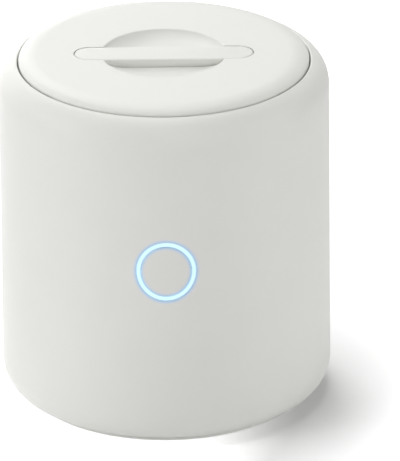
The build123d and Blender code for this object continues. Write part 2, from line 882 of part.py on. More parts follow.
def lid_plug():
    """Inner lid moulding: a flange that carries the gasket and a plug that enters the chamber."""
    flange_radius = lid_inner - plug_flange_clearance
    plug = disc(flange_radius, plug_flange_bottom, plug_flange_top)
    plug += disc(plug_radius, plug_bottom, plug_flange_bottom)
    plug -= disc(plug_radius - plug_wall, plug_floor_top, plug_flange_top)
    for angle in lid_post_angles:
        x, y = polar(lid_post_circle, angle)
        head = lid_screw_radius * screw_head_ratio + screw_hole_clearance
        plug -= disc(head, plug_bottom, plug_bottom + screw_head_height, x, y)
        plug -= disc(lid_screw_radius + screw_hole_clearance, plug_bottom, plug_floor_top, x, y)
    x, y = polar(magnet_centre, sensor_angle)
    collar = magnet_radius + magnet_clearance
    plug += disc(collar + magnet_collar_wall, plug_floor_top, plug_floor_top + magnet_height, x, y)
    return plug - disc(collar, plug_floor_top, plug_floor_top + magnet_height, x, y)


def lid_magnet():
    """Magnet that tells the sensor that the lid is on."""
    x, y = polar(magnet_centre, sensor_angle)
    return disc(magnet_radius, plug_floor_top, plug_floor_top + magnet_height, x, y)


def lid_gasket():
    """Soft ring under the lid flange with a sealing bead round the plug."""
    inner = plug_radius + gasket_fit
    gasket = ring(inner + gasket_width, inner, gasket_bottom + gasket_bead, plug_flange_bottom)
    middle = inner + gasket_width / 2
    bead = ring(middle + gasket_bead_width / 2, middle - gasket_bead_width / 2, gasket_bottom,
                gasket_bottom + gasket_bead)
    return gasket + bead


def lid_reflector():
    """Polished disc on the underside of the plug."""
    return disc(plug_radius - reflector_border, reflector_bottom, plug_bottom)


def lid_screws():
    """Three screws that join the lid cap and the plug."""
    places = [polar(lid_post_circle, angle) for angle in lid_post_angles]
    head_face = plug_bottom + screw_head_height
    tip = lid_skin_bottom - lid_screw_end
    return Compound(children=[screw(lid_screw_radius, head_face, tip, x, y) for x, y in places])


def item_rack():
    """Lift-out rack that holds teats above the window, slotted to let light through."""
    rack = disc(rack_radius, rack_level, rack_level + rack_thickness)
    rack += ring(rack_radius, rack_radius - rack_rim_width, rack_level,
                 rack_level + rack_thickness + rack_rim_height)
    rack -= disc(rack_eye_radius, rack_level, rack_level + rack_thickness)
    slot_length = rack_slot_outer - rack_slot_inner
    slot_middle = (rack_slot_outer + rack_slot_inner) / 2
    slot = Pos(slot_middle, 0, rack_level) * extrude(
        SlotOverall(slot_length, rack_slot_width), rack_thickness)
    for index in range(rack_slot_count):
        rack -= Rot(0, 0, (index + 0.5) * 360 / rack_slot_count) * slot
    for index in range(rack_leg_count):
        x, y = polar(rack_leg_circle, index * 360 / rack_leg_count)
        rack += disc(rack_leg_radius, chamber_floor + rack_floor_clearance, rack_level, x, y)
    return rack


def sensor_board():
    """Small board for the lid sensor, held on two pins of the case."""
    low, high = sensor_board_heights()
    half = sensor_board_width / 2
    outer = -sensor_boss_reach
    board = block((outer - sensor_board_thickness, outer), (-half, half), (low, high))
    for height in sensor_pin_heights():
        board -= Pos(outer, 0, height) * Rot(0, 90, 0) * Cylinder(
            sensor_pin_radius + sensor_pin_clearance, 3 * sensor_board_thickness)
    return sensor_frame() * board


def lid_sensor():
    """Magnetic sensor on the sensor board."""
    width, depth, height = sensor_size
    outer = -sensor_boss_reach - sensor_board_thickness
    low, high = sensor_board_heights()
    middle = (low + high) / 2
    return sensor_frame() * block((outer - depth, outer), (-width / 2, width / 2),
                                  (middle - height / 2, middle + height / 2))


def button_flex():
    """Flat cable from the button board over the cell to the control board."""
    start_z = button_height - button_board_length / 2 + flex_overlap
    near = -button_board_back + flex_thickness / 2
    end_y = board_post_row + flex_landing
    path = FilletPolyline((0, near, start_z), (0, near, flex_level), (0, end_y, flex_level),
                          (0, end_y, board_top), radius=flex_bend)
    section = Plane(origin=(0, near, start_z), x_dir=(1, 0, 0), z_dir=(0, 0, -1))
    return sweep(section * Rectangle(flex_width, flex_thickness), path)


def emitter_wires():
    """Two insulated wires from the emitter board down to the control board."""
    start_y = led_board_radius
    level = led_board_bottom + led_board_thickness / 2
    end_y = sink_radius + wire_landing
    wires = []
    for side in (-1, 1):
        x = side * wire_spacing / 2
        path = FilletPolyline((x, start_y, level), (x, end_y, level), (x, end_y, board_top),
                              radius=wire_bend)
        section = Plane(origin=(x, start_y, level), z_dir=(0, 1, 0))
        wires.append(sweep(section * Circle(wire_radius), path))
    return Compound(children=wires)


def battery_wires():
    """Two insulated wires from the contacts to the control board."""
    wires = []
    for side in (-1, 1):
        x = side * (cell_length / 2 + cell_end_gap + holder_end_wall + wire_radius)
        end_x = side * (header_column + header_width / 2)
        level = board_top + wire_radius
        row = board_front + header_row
        path = FilletPolyline((x, cell_y, level), (x, row, level), (end_x, row, level),
                              radius=wire_bend)
        section = Plane(origin=(x, cell_y, level), z_dir=(0, 1, 0))
        wires.append(sweep(section * Circle(wire_radius), path))
    return Compound(children=wires)


def sensor_flex():
    """Flat cable from the sensor board down to the control board."""
    low, high = sensor_board_heights()
    outer = -sensor_boss_reach - sensor_board_thickness
    half = sensor_flex_width / 2
    strip = block((outer - flex_thickness, outer), (-half, half),
                  (board_top, low + sensor_flex_overlap))
    return sensor_frame() * strip


nodes = {
    "outer_case": outer_case,
    "chamber_cup": chamber_cup,
    "chamber_liner": chamber_liner,
    "quartz_window": quartz_window,
    "window_seal": window_seal,
    "uv_led_board": uv_led_board,
    "uv_leds": uv_leds,
    "heat_sink": heat_sink,
    "heat_sink_screws": heat_sink_screws,
    "base_cover": base_cover,
    "foot_pad": foot_pad,
    "base_screws": base_screws,
    "battery_cell": battery_cell,
    "battery_holder": battery_holder,
    "battery_contacts": battery_contacts,
    "control_board": control_board,
    "control_board_screws": control_board_screws,
    "board_components": board_components,
    "charging_socket_shell": charging_socket_shell,
    "charging_socket_tongue": charging_socket_tongue,
    "light_ring": light_ring,
    "button_cap": button_cap,
    "switch_plunger": switch_plunger,
    "tact_switch": tact_switch,
    "button_board": button_board,
    "button_board_screws": button_board_screws,
    "ring_leds": ring_leds,
    "sensor_board": sensor_board,
    "lid_sensor": lid_sensor,
    "lid_cap": lid_cap,
    "grip_bar": grip_bar,
    "lid_plug": lid_plug,
    "lid_magnet": lid_magnet,
    "lid_gasket": lid_gasket,
    "lid_reflector": lid_reflector,
    "lid_screws": lid_screws,
    "item_rack": item_rack,
    "button_flex": button_flex,
    "sensor_flex": sensor_flex,
    "emitter_wires": emitter_wires,
    "battery_wires": battery_wires,
}

os.makedirs("parts", exist_ok=True)
for name, make in nodes.items():
    shape = make()
    shape.label = name
    export_step(shape, f"parts/{name}.step")
    print(f"{name}: {shape.volume:.1f} mm3")
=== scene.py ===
"""Looks of the portable ultraviolet steriliser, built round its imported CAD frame.

Lengths are metres in the frame's own axes: +Z is up and the button faces -Y.
"""

import json
import logging
import math
from collections.abc import Callable
from dataclasses import dataclass, field
from enum import Enum

import bpy
from mathutils import Matrix, Vector

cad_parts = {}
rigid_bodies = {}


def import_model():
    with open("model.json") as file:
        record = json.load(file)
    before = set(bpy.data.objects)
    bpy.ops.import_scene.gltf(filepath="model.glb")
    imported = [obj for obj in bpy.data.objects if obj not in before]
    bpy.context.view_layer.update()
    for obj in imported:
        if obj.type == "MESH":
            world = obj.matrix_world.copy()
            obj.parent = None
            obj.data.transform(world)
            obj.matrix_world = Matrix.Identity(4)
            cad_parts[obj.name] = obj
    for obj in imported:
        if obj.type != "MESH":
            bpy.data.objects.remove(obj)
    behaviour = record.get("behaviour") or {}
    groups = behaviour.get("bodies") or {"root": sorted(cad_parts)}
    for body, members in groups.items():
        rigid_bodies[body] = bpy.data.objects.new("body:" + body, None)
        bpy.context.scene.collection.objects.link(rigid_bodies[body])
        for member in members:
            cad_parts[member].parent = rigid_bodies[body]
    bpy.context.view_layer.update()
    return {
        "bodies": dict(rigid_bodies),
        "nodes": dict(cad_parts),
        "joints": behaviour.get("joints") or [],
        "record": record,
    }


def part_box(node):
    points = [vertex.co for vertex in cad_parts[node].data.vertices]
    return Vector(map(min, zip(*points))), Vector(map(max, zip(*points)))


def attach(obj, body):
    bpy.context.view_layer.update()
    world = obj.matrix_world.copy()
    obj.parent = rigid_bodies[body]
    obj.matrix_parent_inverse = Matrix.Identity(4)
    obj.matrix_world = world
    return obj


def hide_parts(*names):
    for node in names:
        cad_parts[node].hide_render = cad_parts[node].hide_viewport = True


LOG = logging.getLogger("steriliser")
MM = 0.001
POLE = 0.00001 * MM  # radius that stands for the axis while a shape is turned
WELD = 0.001 * MM  # points closer than this are one
CUT_MARGIN = 1.0 * MM  # how far a cutter reaches past what it cuts
Colour = tuple[float, float, float]
Point = tuple[float, float]
Stops = tuple[tuple[float, Colour], ...]
BLACK: Colour = (0.0, 0.0, 0.0)
WHITE: Colour = (1.0, 1.0, 1.0)


def srgb(red: int, green: int, blue: int) -> Colour:
    """Linear colour of an sRGB colour in 0 to 255."""
    full, toe, toe_slope, offset, power = 255, 10, 12.92, 0.055, 2.4
    return tuple(((v / full + offset) / (1 + offset)) ** power if v > toe else v / full / toe_slope
                 for v in (red, green, blue))


class Body(Enum):
    """CAD bodies that the pieces ride on."""

    CASE = "case"
    LID = "lid"
    BUTTON = "button"
    RACK = "rack"


# Tools of the workbench


def deselect_all() -> None:
    """Leave edit mode and clear the selection."""
    if bpy.context.mode != "OBJECT":
        bpy.ops.object.mode_set(mode="OBJECT")
    bpy.ops.object.select_all(action="DESELECT")


def pick(piece: bpy.types.Object) -> None:
    """Make one piece the only selected and active object.

    Args:
        piece: The object to select.
    """
    deselect_all()
    piece.select_set(True)
    bpy.context.view_layer.objects.active = piece


def rename(piece: bpy.types.Object, name: str) -> None:
    """Give a piece and its mesh one name."""
    piece.name = name
    piece.data.name = name


def settle(piece: bpy.types.Object) -> bpy.types.Object:
    """Put a piece's place, turn and scale into its mesh.

    Args:
        piece: The object to settle.

    Returns:
        The same object, now at the origin.
    """
    pick(piece)
    bpy.ops.object.transform_apply(location=True, rotation=True, scale=True)
    return piece


def apply_modifier(piece: bpy.types.Object, kind: str, **settings: object) -> None:
    """Add a modifier to a piece and apply it.

    Args:
        piece: The object to change.
        kind: Blender's name of the modifier type.
        settings: The modifier's own settings.
    """
    pick(piece)
    modifier = piece.modifiers.new(kind.title(), kind)
    for key, value in settings.items():
        setattr(modifier, key, value)
    bpy.ops.object.modifier_apply(modifier=modifier.name)


def turn(name: str, profile: list[Point], steps: int = 192,
         closed: bool = False) -> bpy.types.Object:
    """Draw a turned shape up ring by ring round the Z axis.

    Args:
        name: Name of the new object.
        profile: Points of radius and height. A radius of zero closes the shape there.
        steps: Vertices round each ring.
        closed: Whether the last ring joins the first, as in a tube.

    Returns:
        The new object, with its faces outward.
    """
    deselect_all()
    rings = [(max(radius, POLE), height) for radius, height in profile]
    radius, height = rings[0]
    bpy.ops.mesh.primitive_circle_add(vertices=steps, radius=radius, location=(0, 0, height))
    piece = bpy.context.active_object
    rename(piece, name)
    settle(piece)
    bpy.ops.object.mode_set(mode="EDIT")
    bpy.ops.mesh.select_all(action="SELECT")
    path = rings[1:] + rings[:1] if closed else rings[1:]
    for next_radius, next_height in path:
        rise = (0, 0, next_height - height)
        bpy.ops.mesh.extrude_edges_move(TRANSFORM_OT_translate={"value": rise})
        share = next_radius / radius
        bpy.ops.transform.resize(value=(share, share, 1), center_override=(0, 0, next_height))
        radius, height = next_radius, next_height
    bpy.ops.mesh.select_all(action="SELECT")
    bpy.ops.mesh.remove_doubles(threshold=10 * POLE)
    bpy.ops.mesh.normals_make_consistent(inside=False)
    bpy.ops.object.mode_set(mode="OBJECT")
    return piece


def arc(centre: Point, size: Point, start: float, end: float, steps: int) -> list[Point]:
    """Points of an elliptical arc in a profile.

    Args:
        centre: Radius and height of the arc's centre.
        size: Half its width and half its height.
        start: First angle in degrees, from the outward direction.
        end: Last angle in degrees.
        steps: Number of chords.

    Returns:
        The points from start to end.
    """
    turns = [math.radians(start + (end - start) * i / steps) for i in range(steps + 1)]
    return [(centre[0] + size[0] * math.cos(t), centre[1] + size[1] * math.sin(t)) for t in turns]


def cut_away(piece: bpy.types.Object, cutter: bpy.types.Object) -> None:
    """Cut one object out of another and remove the cutter.

    Args:
        piece: The object to cut.
        cutter: The closed object to cut with.
    """
    apply_modifier(piece, "BOOLEAN", operation="DIFFERENCE", solver="EXACT", object=cutter)
    bpy.data.objects.remove(cutter)


def smooth(piece: bpy.types.Object) -> None:
    """Shade a piece smooth, except across edges sharper than 30 degrees."""
    pick(piece)
    bpy.ops.object.shade_smooth_by_angle(angle=math.radians(30))


def stretched_bar(name: str, profile: list[Point], length: float,
                  steps: int = 64) -> bpy.types.Object:
    """Turn a round shape and pull its halves apart along X into a bar with half-round ends.

    Args:
        name: Name of the new object.
        profile: Points of radius and height, as for turn().
        length: Full length of the bar.
        steps: Vertices round the two ends together.

    Returns:
        The new object.
    """
    piece = turn(name, profile, steps)
    piece.rotation_euler = (0, 0, math.pi / steps)
    settle(piece)
    reach = length / 2 - max(radius for radius, _ in profile)
    for vertex in piece.data.vertices:
        vertex.co.x += math.copysign(reach, vertex.co.x)
    return piece


def block(name: str, size: Vector, centre: Vector, edge: float) -> bpy.types.Object:
    """Model a box with bevelled edges.

    Args:
        name: Name of the new object.
        size: Its three sizes.
        centre: Its middle.
        edge: Width of the bevel.

    Returns:
        The new object.
    """
    deselect_all()
    bpy.ops.mesh.primitive_cube_add(size=1, location=centre, scale=size)
    piece = bpy.context.active_object
    rename(piece, name)
    settle(piece)
    bpy.ops.object.mode_set(mode="EDIT")
    bpy.ops.mesh.select_all(action="SELECT")
    bpy.ops.mesh.bevel(offset=edge, segments=2, affect="EDGES")
    bpy.ops.object.mode_set(mode="OBJECT")
    return piece


def join(piece: bpy.types.Object, others: list[bpy.types.Object]) -> bpy.types.Object:
    """Join other objects into a piece.

    Args:
        piece: The object that stays.
        others: The objects that go into it.

    Returns:
        The piece.
    """
    pick(piece)
    for other in others:
        other.select_set(True)
    bpy.ops.object.join()
    return piece


def bevel_rims(piece: bpy.types.Object, width: float,
               chosen: Callable[[Vector, Vector], bool]) -> None:
    """Bevel the edges that a test picks.

    Args:
        piece: The object to change.
        width: Width of the bevel.
        chosen: Says from an edge's two ends whether it is bevelled.
    """
    flat = math.radians(0.5)
    pick(piece)
    bpy.ops.object.mode_set(mode="EDIT")
    bpy.ops.mesh.select_all(action="SELECT")
    bpy.ops.mesh.remove_doubles(threshold=WELD)
    bpy.ops.mesh.dissolve_limited(angle_limit=flat)
    bpy.ops.mesh.select_all(action="DESELECT")
    bpy.ops.object.mode_set(mode="OBJECT")
    mesh = piece.data
    for line in mesh.edges:
        a, b = (mesh.vertices[i].co for i in line.vertices)
        line.select = chosen(a, b)
    bpy.ops.object.mode_set(mode="EDIT")
    bpy.ops.mesh.select_mode(type="EDGE")
    bpy.ops.mesh.bevel(offset=width, segments=3, affect="EDGES")
    bpy.ops.object.mode_set(mode="OBJECT")


def node_mesh(node: str) -> bpy.types.Mesh:
    """Mesh of a CAD node, which is only read."""
    return bpy.data.objects[node].data


def copy_of_node(node: str, name: str) -> bpy.types.Object:
    """Copy a CAD node's mesh into an object of its own and weld its triangles.

    Args:
        node: Name of the CAD node, which is only read.
        name: Name of the new object.

    Returns:
        The new object, with nothing in it selected.
    """
    deselect_all()
    piece = bpy.data.objects.new(name, node_mesh(node).copy())
    rename(piece, name)
    bpy.context.scene.collection.objects.link(piece)
    pick(piece)
    bpy.ops.object.mode_set(mode="EDIT")
    bpy.ops.mesh.select_mode(type="VERT")
    bpy.ops.mesh.select_all(action="SELECT")
    bpy.ops.mesh.remove_doubles(threshold=WELD)
    bpy.ops.mesh.select_all(action="DESELECT")
    bpy.ops.object.mode_set(mode="OBJECT")
    return piece


def place(piece: bpy.types.Object, body: Body, slot: str, finishes: "Finishes",
          *nodes: str) -> bpy.types.Object:
    """Dress a finished piece and let it ride on its body.

    Args:
        piece: The modelled object.
        body: CAD body that it moves with.
        slot: The record's material slot that it stands for, which names its finish too.
        finishes: Every finish of the object.
        nodes: CAD nodes that it replaces.

    Returns:
        The piece.
    """
    smooth(piece)
    piece.data.materials.clear()
    piece.data.materials.append(finishes.of(slot))
    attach(piece, body.value)
    if nodes:
        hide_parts(*nodes)
    deselect_all()
    LOG.info("%s: %d faces", piece.name, len(piece.data.polygons))
    return piece


# Finishes


class Nodes:
    """Short hand for the node tree of one material, group or world."""

    def __init__(self, tree: bpy.types.NodeTree) -> None:
        """Wrap a tree.

        Args:
            tree: The node tree to write in.
        """
        self.tree = tree

    def add(self, kind: str, **settings: object) -> bpy.types.Node:
        """Add a node.

        Args:
            kind: Node type without its ShaderNode prefix.
            settings: Attributes of the node.

        Returns:
            The new node.
        """
        node = self.tree.nodes.new("ShaderNode" + kind)
        for key, value in settings.items():
            setattr(node, key, value)
        return node

    def link(self, source: bpy.types.NodeSocket, target: bpy.types.NodeSocket) -> None:
        """Link two sockets."""
        self.tree.links.new(source, target)

    def feed(self, value: object, target: bpy.types.NodeSocket) -> None:
        """Link a socket to an input, or set the input to a number or colour.

        Args:
            value: The socket, number or colour.
            target: The input.
        """
        if isinstance(value, bpy.types.NodeSocket):
            self.link(value, target)
        else:
            target.default_value = value

    def math(self, operation: str, *values: object) -> bpy.types.NodeSocket:
        """Add a Math node.

        Args:
            operation: Blender's name of the operation.
            values: A socket or number for each of its inputs.

        Returns:
            The result's socket.
        """
        node = self.add("Math", operation=operation)
        for socket, value in zip(node.inputs, values):
            self.feed(value, socket)
        return node.outputs[0]

    def share(self, value: bpy.types.NodeSocket, start: float, end: float) -> bpy.types.NodeSocket:
        """Where a value lies on the way from a start (0) to an end (1)."""
        return self.math("DIVIDE", self.math("SUBTRACT", value, start), end - start)

    def length(self, first: bpy.types.NodeSocket,
               second: bpy.types.NodeSocket) -> bpy.types.NodeSocket:
        """Length of the vector with these two parts."""
        squares = [self.math("MULTIPLY", part, part) for part in (first, second)]
        return self.math("SQRT", self.math("ADD", *squares))

    def spot(self) -> bpy.types.NodeSocket:
        """The shaded spot in the object's own axes."""
        return self.add("TexCoord").outputs["Object"]

    def axes(self) -> list[bpy.types.NodeSocket]:
        """X, Y and Z of the shaded spot in the object's own axes.

        Returns:
            The three sockets.
        """
        parts = self.add("SeparateXYZ")
        self.link(self.spot(), parts.inputs[0])
        return list(parts.outputs)

    def ramp(self, factor: bpy.types.NodeSocket, stops: Stops,
             ease: bool = False) -> bpy.types.NodeSocket:
        """Add a colour ramp.

        Args:
            factor: Socket that drives the ramp.
            stops: Positions from 0 to 1 with their colours.
            ease: Whether the colours ease from stop to stop.

        Returns:
            The colour socket.
        """
        node = self.add("ValToRGB")
        node.color_ramp.interpolation = "EASE" if ease else "LINEAR"
        elements = node.color_ramp.elements
        while len(elements) < len(stops):
            elements.new(0.5)
        for element, (position, colour) in zip(elements, stops):
            element.position = position
            element.color = (*colour, 1)
        self.link(factor, node.inputs[0])
        return node.outputs[0]

    def eased(self, share: bpy.types.NodeSocket) -> bpy.types.NodeSocket:
        """Ease a share in and out between 0 and 1."""
        return self.ramp(share, ((0.0, BLACK), (1.0, WHITE)), ease=True)

    def blend(self, target: bpy.types.NodeSocket, factor: object, colour: object,
              kind: str = "MIX") -> None:
        """Blend a colour into the one that an input already gets.

        Args:
            target: The linked colour input.
            factor: Strength of the blend, as a socket or number.
            colour: The other colour, as a socket or four numbers.
            kind: Blender's name of the blend.
        """
        mix = self.add("MixRGB", blend_type=kind)
        self.feed(factor, mix.inputs["Fac"])
        self.link(target.links[0].from_socket, mix.inputs["Color1"])
        self.feed(colour, mix.inputs["Color2"])
        self.link(mix.outputs["Color"], target)

    def seen(self) -> bpy.types.NodeSocket:
        """Tell the rays that show a surface from those that only light others.

        Returns:
            Socket that is 1 on rays from the camera, off a shine or through glass, and else 0.
        """
        path = self.add("LightPath")
        seen = self.math("MAXIMUM", path.outputs["Is Camera Ray"], path.outputs["Is Glossy Ray"])
        return self.math("MAXIMUM", seen, path.outputs["Is Transmission Ray"])


def surface_group() -> bpy.types.NodeTree:
    """Node group that gives a moulded or drawn surface its fine grain.

    Returns:
        The group, made on the first call.
    """
    name = "surface_grain"
    if name in bpy.data.node_groups:
        return bpy.data.node_groups[name]
    group = bpy.data.node_groups.new(name, "ShaderNodeTree")
    sockets = {
        "INPUT": (("Vector", "Vector"), ("Colour", "Color"), ("Cell Density", "Float"),
                  ("Cloud Density", "Float"), ("Colour Spread", "Float"), ("Roughness", "Float"),
                  ("Roughness Spread", "Float")),
        "OUTPUT": (("Colour", "Color"), ("Roughness", "Float"), ("Height", "Float")),
    }
    for side, entries in sockets.items():
        for label, kind in entries:
            group.interface.new_socket(label, in_out=side, socket_type="NodeSocket" + kind)
    n = Nodes(group)
    source = group.nodes.new("NodeGroupInput")
    sink = group.nodes.new("NodeGroupOutput")
    grain = n.add("TexNoise")
    grain.inputs["Detail"].default_value = 3
    n.link(source.outputs["Vector"], grain.inputs["Vector"])
    n.link(source.outputs["Cell Density"], grain.inputs["Scale"])
    cloud = n.add("TexNoise")
    cloud.inputs["Detail"].default_value = 4
    n.link(source.outputs["Vector"], cloud.inputs["Vector"])
    n.link(source.outputs["Cloud Density"], cloud.inputs["Scale"])
    mean = 0.5
    centred = n.math("SUBTRACT", cloud.outputs["Fac"], mean)
    gain = n.math("ADD", n.math("MULTIPLY", centred, source.outputs["Colour Spread"]), 1.0)
    tint = n.add("VectorMath", operation="SCALE")
    n.link(source.outputs["Colour"], tint.inputs[0])
    n.link(gain, tint.inputs["Scale"])
    n.link(tint.outputs[0], sink.inputs["Colour"])
    both = n.math("ADD", cloud.outputs["Fac"], grain.outputs["Fac"])
    both = n.math("SUBTRACT", both, 2 * mean)
    wear = n.math("MULTIPLY", both, source.outputs["Roughness Spread"])
    n.link(n.math("ADD", wear, source.outputs["Roughness"]), sink.inputs["Roughness"])
    n.link(grain.outputs["Fac"], sink.inputs["Height"])
    return group


def add_surface(n: Nodes, values: dict[str, object]) -> bpy.types.Node:
    """Add the surface group to a material.

    Args:
        n: Node tree of the material.
        values: Values of the group's inputs by their names.

    Returns:
        The group's node.
    """
    node = n.add("Group", node_tree=surface_group())
    n.link(n.spot(), node.inputs["Vector"])
    for name, value in values.items():
        node.inputs[name].default_value = value
    return node


@dataclass(frozen=True)
class Finish:
    """A surface finish with its fine grain."""

    name: str
    colour: Colour
    roughness: float
    roughness_spread: float = 0.08
    colour_spread: float = 0.03
    grain: float = 0.25 * MM
    cloud: float = 12 * MM
    relief: float = 0.004 * MM
    metallic: float = 0.0
    transmission: float = 0.0
    ior: float = 1.46
    coat: float = 0.0
    sheen: float = 0.0

    def build(self) -> bpy.types.Material:
        """Make the material.

        Returns:
            The new material.
        """
        material = bpy.data.materials.new(self.name)
        material.use_nodes = True
        n = Nodes(material.node_tree)
        shader = material.node_tree.nodes["Principled BSDF"]
        shader.inputs["Metallic"].default_value = self.metallic
        shader.inputs["IOR"].default_value = self.ior
        shader.inputs["Transmission Weight"].default_value = self.transmission
        shader.inputs["Coat Weight"].default_value = self.coat
        shader.inputs["Sheen Weight"].default_value = self.sheen
        surface = add_surface(n, {
            "Colour": (*self.colour, 1), "Colour Spread": self.colour_spread,
            "Roughness": self.roughness, "Roughness Spread": self.roughness_spread,
            "Cell Density": 1 / self.grain, "Cloud Density": 1 / self.cloud})
        bump = n.add("Bump")
        bump.inputs["Distance"].default_value = self.relief
        n.link(surface.outputs["Height"], bump.inputs["Height"])
        n.link(surface.outputs["Colour"], shader.inputs["Base Color"])
        n.link(surface.outputs["Roughness"], shader.inputs["Roughness"])
        n.link(bump.outputs["Normal"], shader.inputs["Normal"])
        self.extend(n, shader)
        return material

    def extend(self, n: Nodes, shader: bpy.types.Node) -> None:
        """Place for a finish of its own kind to add to the shader."""


@dataclass(frozen=True)
class LitBand:
    """Band round the button that glows, an oval a little taller than wide in the front view.

    Attributes:
        height: Height of its centre.
        inner: Its inner radius, along the width.
        outer: Its outer radius, along the width.
        rise: How much further it reaches above and below the centre than to the sides.
    """

    height: float = 57.1 * MM
    inner: float = 7.4 * MM
    outer: float = 8.65 * MM
    rise: float = 0.43 * MM

    @property
    def middle(self) -> float:
        """Radius halfway across the band, along its width."""
        return (self.inner + self.outer) / 2

    @property
    def half_width(self) -> float:
        """Half the band's own width."""
        return (self.outer - self.inner) / 2

    def distance(self, n: Nodes) -> bpy.types.NodeSocket:
        """Distance from the band's centre in the front view, and far more at the rear.

        Args:
            n: Node tree to write in.

        Returns:
            The socket of the distance in metres, as measured along the width.
        """
        x, y, z = n.axes()
        stretch = 1 + self.rise / self.middle
        up = n.math("DIVIDE", n.math("SUBTRACT", z, self.height), stretch)
        behind = n.math("GREATER_THAN", y, 0.0)
        return n.math("ADD", n.length(x, up), behind)


@dataclass(frozen=True)
class GlowingGuide(Finish):
    """Lit guide that glows bright across its band; at its two edges its light is dimmer and bluer,
    which paints the shade of the rounded edges.
    """

    band: LitBand = LitBand()
    core_light: Colour = srgb(212, 243, 251)
    # dimmer, bluer glow at the band's edges: painted shade of the rounded edges
    painted_shade_edge_light: Colour = srgb(150, 195, 225)
    edge_share: float = 0.11

    def extend(self, n: Nodes, shader: bpy.types.Node) -> None:
        """Light the band by its distance from the button's centre, with painted shade at both
        edges.

        Args:
            n: Node tree of the material.
            shader: Its Principled BSDF.
        """
        across = n.share(self.band.distance(n), self.band.inner, self.band.outer)
        # painted shade: the glow dims to a bluer colour at both edges of the band
        light = n.ramp(across, ((0.0, self.painted_shade_edge_light), (self.edge_share, self.core_light),
                                (1 - self.edge_share, self.core_light), (1.0, self.painted_shade_edge_light)))
        n.link(light, shader.inputs["Emission Color"])
        shader.inputs["Emission Strength"].default_value = 1.0


@dataclass(frozen=True)
class ShellWithPaintedRingLight(Finish):
    """Shell plastic with painted shade, tinted blue, beside the ring, and a painted faint blue glow
    of the ring's light there.
    """

    band: LitBand = LitBand()
    reach: float = 1.2 * MM
    # painted shade, tinted blue, in the gaps beside the ring
    painted_shade_tints: Stops = ((0.0, (0.66, 0.86, 1.0)), (0.25, (0.69, 0.875, 1.0)),
                    (0.5, (0.865, 0.967, 1.0)), (0.75, (0.945, 1.0, 1.0)), (1.0, WHITE))
    # painted glow of the ring's light on the shell
    painted_ring_glow: Stops = ((0.0, (0.0, 0.0, 0.07)), (0.5, (0.0, 0.0, 0.09)),
                     (0.75, (0.0, 0.0, 0.05)), (1.0, BLACK))

    def extend(self, n: Nodes, shader: bpy.types.Node) -> None:
        """Paint shade, tinted blue, on the shell beside both edges of the ring, and paint a faint
        glow of the ring's light there.

        Args:
            n: Node tree of the material.
            shader: Its Principled BSDF.
        """
        aside = n.math("ABSOLUTE", n.math("SUBTRACT", self.band.distance(n), self.band.middle))
        beyond = n.math("SUBTRACT", aside, self.band.half_width)
        share = n.math("DIVIDE", beyond, self.reach)
        # painted light: the shell glows faintly blue beside the ring
        n.link(n.ramp(share, self.painted_ring_glow), shader.inputs["Emission Color"])
        shader.inputs["Emission Strength"].default_value = 1.0
        # painted shade: the shell's colour is darkened and tinted blue beside the ring
        n.blend(shader.inputs["Base Color"], 1.0, n.ramp(share, self.painted_shade_tints), "MULTIPLY")


@dataclass(frozen=True)
class CircuitBoard(Finish):
    """Lacquered laminate with copper tracks under the lacquer."""

    track: Colour = srgb(46, 128, 78)
    track_pitch: float = 1.6 * MM
    track_share: float = 0.12

    def extend(self, n: Nodes, shader: bpy.types.Node) -> None:
        """Draw the tracks as the borders of square cells.

        Args:
            n: Node tree of the material.
            shader: Its Principled BSDF.
        """
        spot = n.spot()
        distances = []
        for feature in ("F1", "F2"):
            cells = n.add("TexVoronoi", feature=feature, distance="CHEBYCHEV")
            cells.inputs["Scale"].default_value = 1 / self.track_pitch
            n.link(spot, cells.inputs["Vector"])
            distances.append(cells.outputs["Distance"])
        nearest, second = distances
        border = n.math("SUBTRACT", second, nearest)
        on_track = n.math("LESS_THAN", border, self.track_share)
        n.blend(shader.inputs["Base Color"], on_track, (*self.track, 1))


